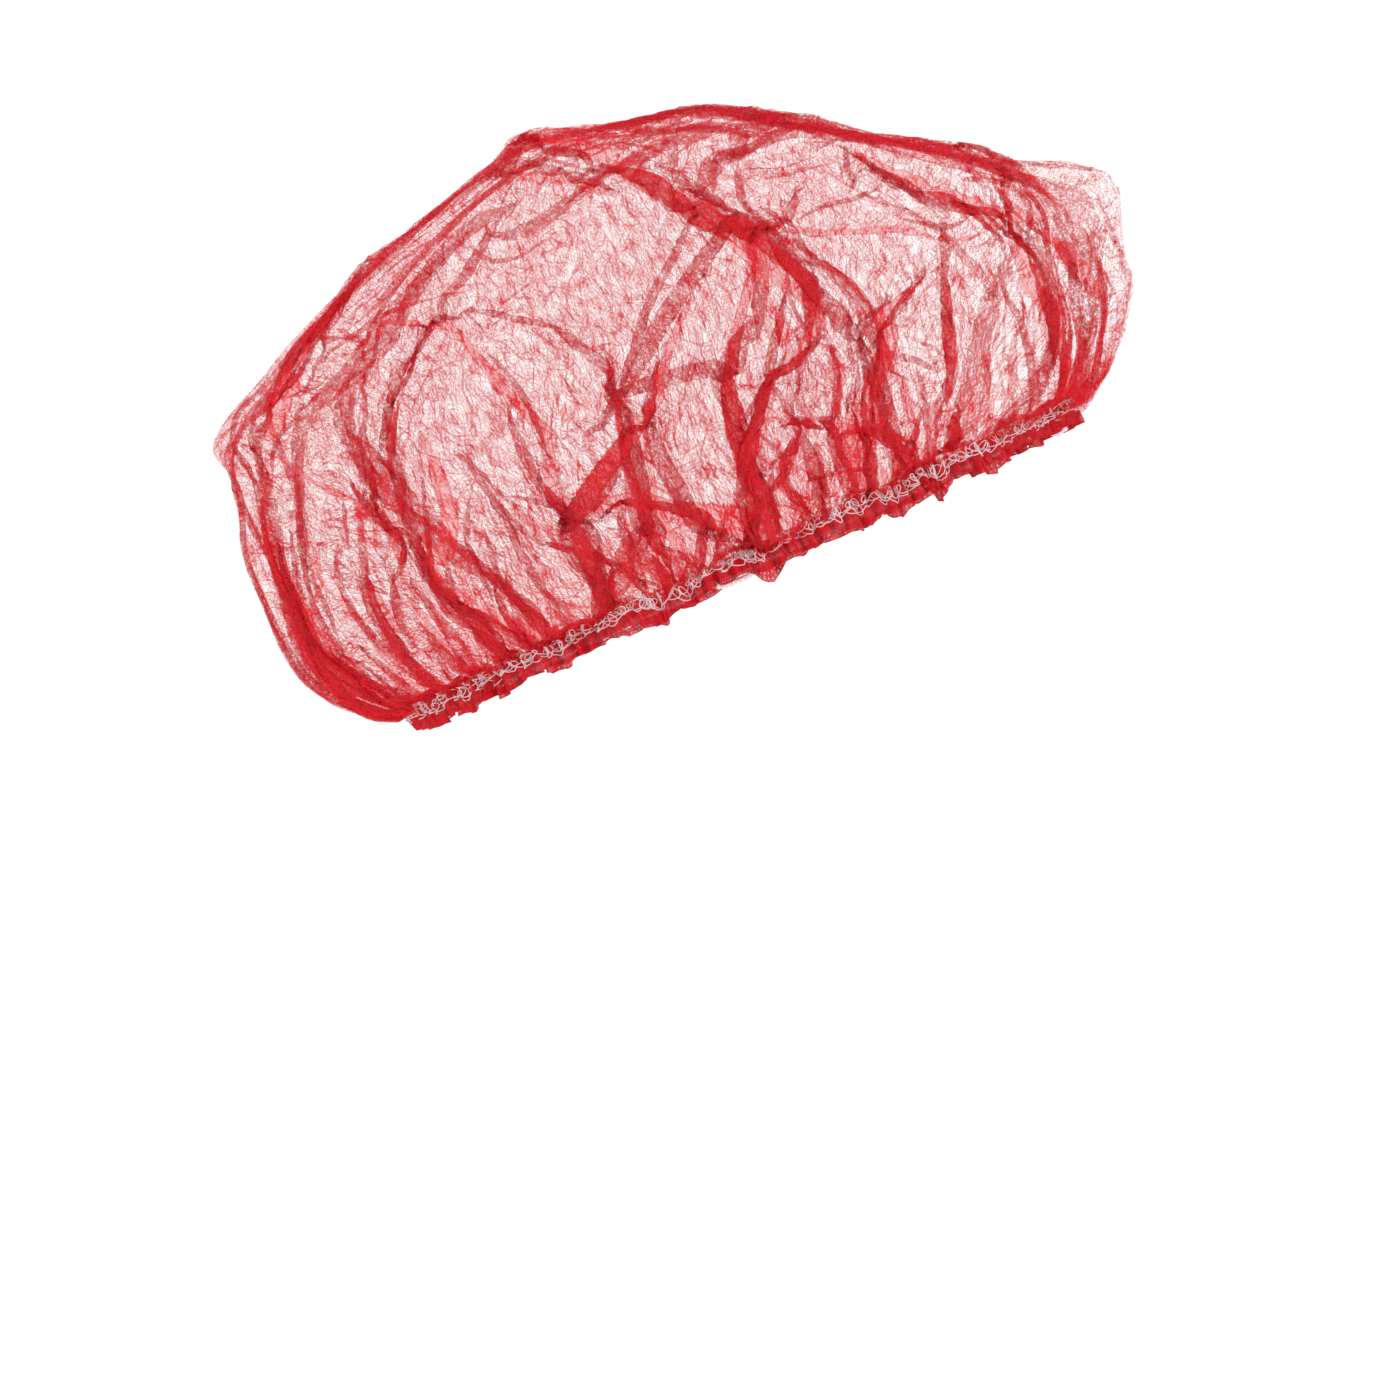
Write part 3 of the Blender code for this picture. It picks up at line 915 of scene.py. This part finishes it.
def nonwoven(name, cover, web_share, pleats=False):
    """Sheer fibre web. Cover is what it hides between its strands, and they add the web's share."""
    n = Nodes(name)
    uv = n.add("ShaderNodeUVMap", uv_map="flat")
    place = n.vector("MULTIPLY", uv, (1000, 1000, 0))
    web = fibre_web(n, place)
    bonds = bond_points(n, place)
    cloud = n.noise(place, CLOUD_SCALE, 1.0, CLOUD_ROUGHNESS, noise_dimensions="2D")
    dense = n.ramp(cloud.outputs["Fac"], 0.3, 0.7, -CLOUD_COVER, CLOUD_COVER)
    if pleats:
        away = n.vector("LENGTH", place).outputs["Value"]
        dense = crown_density(n, place, away, dense)
    thick = n.math("ADD", n.math("MULTIPLY_ADD", web, web_share, dense), cover)
    alpha = n.math("MULTIPLY", thick, n.ramp(bonds, 0.0, 1.0, 1.0, BOND_COVER), clamp=True)
    bump = {}
    if pleats:
        # painted shade: the thin cover between the strands is a darker red, and the strands take the plain
        # red
        colour = n.mix_colour(web, THIN_WEB_PAINTED_SHADE_RED, RED)
        colour, alpha, bump["Normal"] = layered(n, away, colour, alpha)
    else:
        # painted light: the hem's strands are a brighter red than the cover between them
        colour = n.mix_colour(web, RED, LAYERED_PAINTED_LIGHT_RED)
        # painted shade: the hem's colour darkens towards a deep red in the valleys between its gathers
        colour = n.mix_colour(n.math("MULTIPLY", n.stored("painted_valley_shade"), PAINTED_SHADE_SHARE), colour, PAINTED_SHADE_RED)
    diffuse = n.add("ShaderNodeBsdfDiffuse", {"Color": colour, "Roughness": CLOTH_ROUGHNESS, **bump})
    through = n.add("ShaderNodeBsdfTranslucent", {"Color": colour, **bump})
    cloth = n.add("ShaderNodeMixShader", {0: THROUGH, 1: diffuse, 2: through})
    gloss = n.add("ShaderNodeBsdfGlossy", {"Color": SHEEN_RED, "Roughness": GLOSS_ROUGHNESS})
    shiny = n.add("ShaderNodeMixShader", {0: GLOSS, 1: cloth, 2: gloss})
    clear = n.add("ShaderNodeBsdfTransparent")
    both = n.add("ShaderNodeMixShader", {0: alpha, 1: clear, 2: shiny})
    n.add("ShaderNodeOutputMaterial", {"Surface": both})
    return n.material


def white_thread(name, pitch, depth):
    """Matt white yarn, ribbed across its length, its grooves painted darker as shade."""
    n = Nodes(name)
    uv = n.add("ShaderNodeUVMap", uv_map="flat")
    parts = n.add("ShaderNodeSeparateXYZ", {0: uv})
    lay = n.math("ADD", n.math("MULTIPLY", parts.outputs["X"], 1 / pitch), parts.outputs["Y"])
    wave = n.math("SINE", n.math("MULTIPLY", lay, 2 * math.pi))
    bump = n.add("ShaderNodeBump", {"Height": wave, "Strength": 0.6, "Distance": depth})
    # painted shade: the yarn is darker in the grooves of its ribs, following the bump's wave
    colour = n.mix_colour(n.ramp(wave, -1, 1), THREAD_GROOVE_PAINTED_SHADE, THREAD_WHITE)
    surface = n.add("ShaderNodeBsdfPrincipled", {"Base Color": colour, "Roughness": 0.75, "Normal": bump})
    n.add("ShaderNodeOutputMaterial", {"Surface": surface})
    return n.material


def wander(turn, low, high, terms=9):
    """A smooth random wave round the rim, mostly between -1 and 1."""
    rate = rng.integers(low, high + 1, terms)
    phase = rng.uniform(0, 2 * math.pi, terms)
    strength = rng.uniform(0.5, 1.0, terms)
    waves = np.cos(np.asarray(turn)[..., None] * rate + phase) * strength
    return waves.sum(axis=-1) / (0.62 * math.sqrt(terms))


def grid_faces(columns, rows):
    """Squares between the points of a ring of columns, stored column by column."""
    i, j = [part.ravel() for part in np.meshgrid(np.arange(columns), np.arange(rows - 1), indexing="ij")]
    k = (i + 1) % columns
    return np.stack([i * rows + j, k * rows + j, k * rows + j + 1, i * rows + j + 1], axis=1)


def tube(name, path, radius, sides):
    """A closed tube along a closed path, with its length and its turns as its flat places."""
    ahead = np.roll(path, -1, axis=0) - np.roll(path, 1, axis=0)
    ahead /= np.linalg.norm(ahead, axis=1)[:, None]
    out = path - path.mean(axis=0)
    side = np.cross(ahead, out)
    side /= np.linalg.norm(side, axis=1)[:, None]
    top = np.cross(side, ahead)
    turn = np.arange(sides + 1) * 2 * math.pi / sides
    radius = np.broadcast_to(radius, len(path))[:, None, None]
    ring = side[:, None] * np.cos(turn)[:, None] + top[:, None] * np.sin(turn)[:, None]
    points = (path[:, None] + ring * radius)[:, :-1].reshape(-1, 3)
    i, j = [part.ravel() for part in np.meshgrid(np.arange(len(path)), np.arange(sides), indexing="ij")]
    k, m = (i + 1) % len(path), (j + 1) % sides
    faces = np.stack([i * sides + j, k * sides + j, k * sides + m, i * sides + m], axis=1)
    steps = np.linalg.norm(np.roll(path, -1, axis=0) - path, axis=1)
    length = np.repeat(np.cumsum(steps), sides)
    uv = np.stack([length, np.tile(np.arange(sides) / sides, len(path))], axis=1)
    return mesh_object(name, points, faces, uv=uv)


class Hem:
    """The ruffled edge: its surface as a function of the way round and the way down."""

    def __init__(self, opening):
        self.opening = opening
        self.turn = opening.even_turns(HEM_COLUMNS)
        self.length = opening.length
        turn = self.turn
        self.gathers = np.cos(GATHERS * turn + STRAY * wander(turn, *STRAY_WAVES))
        self.swell = wander(turn, *SWELL_WAVES)
        self.fine = wander(turn, *FINE_WAVES)
        self.sway = wander(turn, *SWAY_WAVES)
        self.fray = wander(turn, *FRAY_WAVES)
        self.drop = DROP + SWELL_DROP * np.clip(self.swell, -1, SWELL_MOST) + FRAY_DROP * self.fray
        across = opening.point(turn, 0, 0)
        for pixel, depth, breadth in TIPS:
            place = pixel_place((pixel, 0))[0]
            near = np.clip(1 - np.abs(across[:, 0] - place) / breadth, 0, 1) * (across[:, 1] < 0)
            self.drop = np.maximum(self.drop, depth * near ** TIP_POINT)
        for _ in range(HIDDEN_TIPS):
            place = rng.uniform(HIDDEN_FROM, HIDDEN_TO)
            away = np.abs((turn - place + math.pi) % (2 * math.pi) - math.pi)
            near = np.clip(1 - away / rng.uniform(*HIDDEN_TIP_BREADTH), 0, 1)
            self.drop = np.maximum(self.drop, rng.uniform(*HIDDEN_TIP_DROP) * near ** TIP_POINT)

    def valley_shade_mask(self, shares):
        """How deep between two gathers each point lies, from 0 to 1, column by column, as the mask of the
        painted shade.
        """
        wave = self.gathers + VALLEY_FINE * self.fine
        low = np.clip(VALLEY_LEVEL - VALLEY_DEPTH * wave, 0, 1) ** VALLEY_EDGE
        return np.repeat(low, len(shares))

    def point(self, share):
        """Points all round at this share of the way from the top, over the edge, to the top inside."""
        share = np.asarray(share, float) * np.ones_like(self.turn)
        down = np.clip(share * 2, 0, 1)
        back = np.clip(share * 2 - 1, 0, 1)
        bottom = 1 - np.abs(share - 0.5) * 2
        wave = self.gathers * (STEADY_GATHER + SWELL_GATHER * self.swell * bottom)
        wave += FINE_GATHER * self.fine * bottom
        outward = HEM_OUT + GATHER_DEPTH * GATHER_SHARE * wave
        outward = outward * (1 - back) - HEM_IN * np.sin(back * math.pi / 2)
        outward += SWELL_OUT * bottom ** 2 * self.swell
        outward -= HEM_TUCK * bottom ** 2 * np.cos(self.turn) ** TUCK_ENDS
        low = -self.drop
        rise = np.where(share < 0.5, HEM_TOP + (low - HEM_TOP) * down, low + (HEM_BACK_TOP - low) * back)
        rise = rise + FRAY_DROP * self.fray * bottom
        sway = SWAY * bottom * self.sway / (self.length / (2 * math.pi))
        return self.opening.point(self.turn + sway, outward, rise)


def make_hem(hem):
    """The gathered strip, turned in over the elastic."""
    shares = np.linspace(0, 1, HEM_ROWS)
    points = np.stack([hem.point(share) for share in shares], axis=1).reshape(-1, 3)
    gathered = 2 * math.pi * CUT_RADIUS / HEM_COLUMNS
    uv = np.stack([
        np.repeat(np.arange(HEM_COLUMNS) * gathered, HEM_ROWS),
        np.tile(shares * 2 * HEM_TOP, HEM_COLUMNS),
    ], axis=1)
    strip = mesh_object("ruffled_hem", points, grid_faces(HEM_COLUMNS, HEM_ROWS), uv=uv)
    # the mask of the painted shade in the hem's valleys
    give_values(strip, "painted_valley_shade", hem.valley_shade_mask(shares))
    strip.data.materials.append(nonwoven("gathered_red_nonwoven", HEM_COVER, HEM_WEB))
    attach(strip, "root")
    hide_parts("gathered_hem")
    return strip


def on_surface(surface, first, column, row):
    """Points of a ring of columns, given row by row, read between its columns and rows."""
    second = (first + 1) % HEM_COLUMNS
    part = (column - np.floor(column))[:, None]
    upper = np.floor(row).astype(int)
    mixed = (row - upper)[:, None]

    def on(level):
        return surface[level, first] * (1 - part) + surface[level, second] * part

    return on(upper) * (1 - mixed) + on(upper + 1) * mixed


def make_overlock(hem):
    """Loops of white thread over the upper half of the hem, partly sunk in the gathers."""
    count = round(hem.length / STITCH_PITCH)
    thread = white_thread("overlock_yarn", THREAD_TWIST, THREAD_BUMP)
    last_row = SURFACE_ROWS - 1
    surface = np.stack([hem.point(share) for share in np.linspace(0, 0.5, SURFACE_ROWS)])
    out = hem.opening.outward(hem.turn)
    place = np.arange(count * LOOP_POINTS) / (count * LOOP_POINTS)
    turn = 2 * math.pi * place
    for name, low, high, phase in OVERLOCK_ROWS:
        stitch = 2 * math.pi * count * place + phase
        jitter = wander(turn, count // 5, count // 2)
        slide = LOOP_SLIDE * np.sin(stitch + LOOP_LEAN * jitter)
        slide = (slide + LOOP_STRAY * wander(turn, count // 9, count // 4)) / count
        level = (low + high) / 2 + (high - low) / 2 * np.cos(stitch) * (1 + LOOP_HEIGHT_STRAY * jitter)
        level += ROW_STRAY * wander(turn, *ROW_WAVES)
        sink = SINK + SINK_STRAY * wander(turn, *SINK_WAVES) + SINK_LOOP * np.cos(2 * stitch)
        column = (place + slide) % 1 * HEM_COLUMNS
        row = np.clip(level / 0.5 * last_row, 0, last_row - 0.01)
        first = np.floor(column).astype(int) % HEM_COLUMNS
        path = on_surface(surface, first, column, row) + out[first] * sink[:, None]
        loops = tube(name, path, THREAD_RADIUS, THREAD_SIDES)
        loops.data.materials.append(thread)
        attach(loops, "root")


def make_elastic(hem):
    """White covered elastic inside the hem, crimped, and slipping below it in a few places."""
    turn = 2 * math.pi * np.arange(ELASTIC_POINTS) / ELASTIC_POINTS
    inset, level = elastic_section(hem.opening)
    crimp = CRIMP * np.cos(CRIMPS * turn + wander(turn, *CRIMP_WAVES))
    path = hem.opening.point(turn, -inset + crimp, level + ELASTIC_STRAY * wander(turn, *ELASTIC_WAVES))
    slip = np.zeros(ELASTIC_POINTS)
    for pixel, breadth in ELASTIC_SHOWS:
        place = pixel_place((pixel, 0))[0]
        near = np.clip(SLIP_REACH - np.abs(path[:, 0] - place) / breadth, 0, 1) * (path[:, 1] < 0)
        slip = np.maximum(slip, near * near * (3 - 2 * near))
    path -= hem.opening.up * (slip * ELASTIC_SLIP)[:, None]
    path += hem.opening.outward(turn) * (slip * ELASTIC_SLIP)[:, None]
    radius = ELASTIC_RADIUS * (1 + RIB * np.cos(RIBS * turn))
    cord = tube("crimped_elastic", path, radius, ELASTIC_SIDES)
    cord.data.materials.append(white_thread("elastic_yarn", YARN_TWIST, YARN_BUMP))
    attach(cord, "root")
    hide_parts("elastic_cord")


def elastic_section(opening):
    """How far inside the rim and how high the elastic runs in the frame."""
    ring = np.array([v.co for v in frame["nodes"]["elastic_cord"].data.vertices])
    near = np.abs(ring @ opening.left) < SECTION_BREADTH
    along, rise = np.abs(ring @ opening.ahead)[near], (ring @ opening.up)[near]
    return opening.half[0] - (along.min() + along.max()) / 2, (rise.min() + rise.max()) / 2


def make_crown(form):
    """The sheet of the crown, with what its material needs to know at each point."""
    folds = all_folds(form)
    points, faces, flat = relaxed_sheet(form, folds)
    crown = mesh_object("crown_sheet", points, faces, uv=flat)
    across, lean_side = ribbons(points, form, folds)
    give_values(crown, "crease", creased(points, faces, flat))
    give_values(crown, "across", across)
    give_values(crown, "lean", lean_side)
    crown.data.materials.append(nonwoven("sheer_red_nonwoven", CROWN_COVER, CROWN_WEB, pleats=True))
    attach(crown, "root")
    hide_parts("crown_shell")


def make_stage():
    """A pale round floor, well below the cap, that turns up into a wall all round."""
    profile = [(0.0, FLOOR_LEVEL), (STAGE_RADIUS - STAGE_BEND, FLOOR_LEVEL)]
    for i in range(1, BEND_STEPS + 1):
        turn = math.pi / 2 * i / BEND_STEPS
        out = STAGE_RADIUS - STAGE_BEND + STAGE_BEND * math.sin(turn)
        profile.append((out, FLOOR_LEVEL + STAGE_BEND * (1 - math.cos(turn))))
    profile.append((STAGE_RADIUS, STAGE_WALL))
    turn = np.arange(STAGE_SIDES) * 2 * math.pi / STAGE_SIDES
    points = np.array([(r * math.cos(t), r * math.sin(t), z) for t in turn for r, z in profile])
    floor = mesh_object("floor", points, grid_faces(STAGE_SIDES, len(profile)))
    n = Nodes("pale_floor")
    paper = n.add("ShaderNodeBsdfDiffuse", {"Color": PAPER})
    n.add("ShaderNodeOutputMaterial", {"Surface": paper})
    floor.data.materials.append(n.material)


def make_light():
    """A soft white dome, brighter from the upper front and dimmer from behind and below."""
    world = bpy.data.worlds.new("studio")
    bpy.context.scene.world = world
    world.use_nodes = True
    world.cycles.sampling_method = "NONE"
    tree = world.node_tree
    sky = tree.nodes["Background"]
    sky.inputs["Color"].default_value = (1.0, 1.0, 1.0, 1.0)
    place = tree.nodes.new("ShaderNodeTexCoord")
    facing = tree.nodes.new("ShaderNodeVectorMath")
    facing.operation = "DOT_PRODUCT"
    facing.inputs[1].default_value = Vector(KEY_SIDE).normalized()
    strength = tree.nodes.new("ShaderNodeMapRange")
    for key, value in (("From Min", -1.0), ("From Max", 1.0), ("To Min", SKY_DIM), ("To Max", SKY_BRIGHT)):
        strength.inputs[key].default_value = value
    tree.links.new(place.outputs["Generated"], facing.inputs[0])
    tree.links.new(facing.outputs["Value"], strength.inputs["Value"])
    tree.links.new(strength.outputs["Result"], sky.inputs["Strength"])


def make_camera():
    """Level with the middle of the photograph, looking along +Y."""
    data = bpy.data.cameras.new("photo_view")
    data.sensor_width = SENSOR
    data.lens = CAMERA_AWAY * data.sensor_width / (IMAGE_SIDE * PIXEL)
    camera = bpy.data.objects.new("photo_view", data)
    camera.location = camera_place()
    camera.rotation_euler = (math.pi / 2, 0.0, 0.0)
    bpy.context.scene.collection.objects.link(camera)
    bpy.context.scene.camera = camera


def main():
    """Builds the scene round the loaded frame."""
    make_camera()
    opening = Opening()
    form = Form(opening)
    hem = Hem(opening)
    strip = make_hem(hem)
    make_overlock(hem)
    make_elastic(hem)
    make_crown(form)
    make_stage()
    make_light()
    scene = bpy.context.scene
    scene.view_settings.view_transform = "Standard"
    scene.cycles.transparent_max_bounces = 20
    scene.cycles.max_bounces = 5
    scene.cycles.diffuse_bounces = 4


main()
